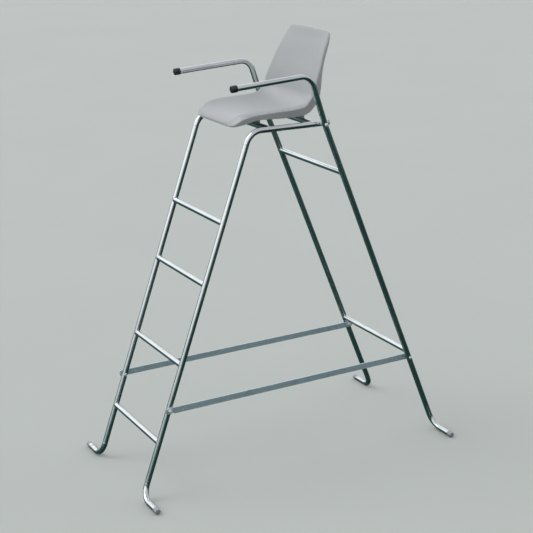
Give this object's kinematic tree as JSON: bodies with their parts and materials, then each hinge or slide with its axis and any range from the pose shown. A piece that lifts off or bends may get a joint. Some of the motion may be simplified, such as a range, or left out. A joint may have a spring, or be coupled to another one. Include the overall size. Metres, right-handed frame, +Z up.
{
  "type": "umpire high chair",
  "caption": "Folding umpire's high chair: tubular-steel ladder frame with a moulded shell seat, a rear frame with armrests, and side braces that lock it open.",
  "frame": {"origin": "on the floor, at the middle of the rectangle the four feet stand on", "axes": "+Z up; the sitter faces -Y (the ladder side); +X is the sitter's left; the chair is symmetric about the X = 0 plane"},
  "size_m": [0.8472, 1.5418, 1.9301],
  "materials": {
    "ladder_tube": "bright zinc-plated steel tube, drawn, slightly hazed",
    "rear_tube": "bright zinc-plated steel tube, drawn, slightly hazed",
    "brace_bar": "dull galvanised flat bar",
    "fastener": "zinc-plated, lightly worn",
    "arm_cap": "black moulded cap, satin",
    "end_plug": "black moulded plug, matt",
    "foot_cap": "grey moulded cap, satin, scuffed",
    "shell": "light grey moulded shell, fine leather grain"
  },
  "bodies": {
    "ladder_frame": {"front_leg_left": "ladder_tube", "front_leg_right": "ladder_tube", "rung_1": "ladder_tube", "rung_2": "ladder_tube", "rung_3": "ladder_tube", "rung_4": "ladder_tube", "seat_tube_front": "ladder_tube", "seat_tube_rear": "ladder_tube", "seat_shell": "shell", "seat_screw_front_left": "fastener", "seat_screw_front_right": "fastener", "seat_screw_rear_left": "fastener", "seat_screw_rear_right": "fastener", "front_foot_cap_left": "foot_cap", "front_foot_cap_right": "foot_cap", "rail_plug_left": "end_plug", "rail_plug_right": "end_plug", "pivot_bolt_left": "fastener", "pivot_bolt_right": "fastener", "pivot_spacer_left": "fastener", "pivot_spacer_right": "fastener", "pivot_nut_left": "fastener", "pivot_nut_right": "fastener", "rail_rivet_left": "fastener", "rail_rivet_right": "fastener", "brace_bolt_front_left": "fastener", "brace_bolt_front_right": "fastener", "brace_washer_front_left": "fastener", "brace_washer_front_right": "fastener", "brace_nut_front_left": "fastener", "brace_nut_front_right": "fastener"},
    "rear_frame": {"rear_leg_left": "rear_tube", "rear_leg_right": "rear_tube", "rear_crossbar_upper": "rear_tube", "rear_crossbar_lower": "rear_tube", "rear_foot_cap_left": "foot_cap", "rear_foot_cap_right": "foot_cap", "arm_cap_left": "arm_cap", "arm_cap_right": "arm_cap", "brace_bolt_rear_left": "fastener", "brace_bolt_rear_right": "fastener", "brace_washer_rear_left": "fastener", "brace_washer_rear_right": "fastener", "brace_nut_rear_left": "fastener", "brace_nut_rear_right": "fastener"},
    "side_brace_left": {"brace_left": "brace_bar", "brace_rivet_front_left": "fastener", "brace_rivet_rear_left": "fastener"},
    "side_brace_right": {"brace_right": "brace_bar", "brace_rivet_front_right": "fastener", "brace_rivet_rear_right": "fastener"}
  },
  "joints": [
    {"name": "frame_fold", "type": "hinge", "parent": "ladder_frame", "child": "rear_frame", "pos_m": [0, 0.15, 1.5522], "axis": [1, 0, 0], "range_deg": [-54, 0]},
    {"name": "brace_lift_left", "type": "hinge", "parent": "rear_frame", "child": "side_brace_left", "pos_m": [0.2522, 0.6094, 0.39], "axis": [1, 0, 0], "range_deg": [-24.3, 0]},
    {"name": "brace_lift_right", "type": "hinge", "parent": "rear_frame", "child": "side_brace_right", "pos_m": [-0.2522, 0.6094, 0.39], "axis": [1, 0, 0], "range_deg": [-24.3, 0]}
  ],
  "couplings": [
    {"joint": "brace_lift_left", "follows": "frame_fold", "ratio": 0.44444},
    {"joint": "brace_lift_right", "follows": "frame_fold", "ratio": 0.44444}
  ]
}
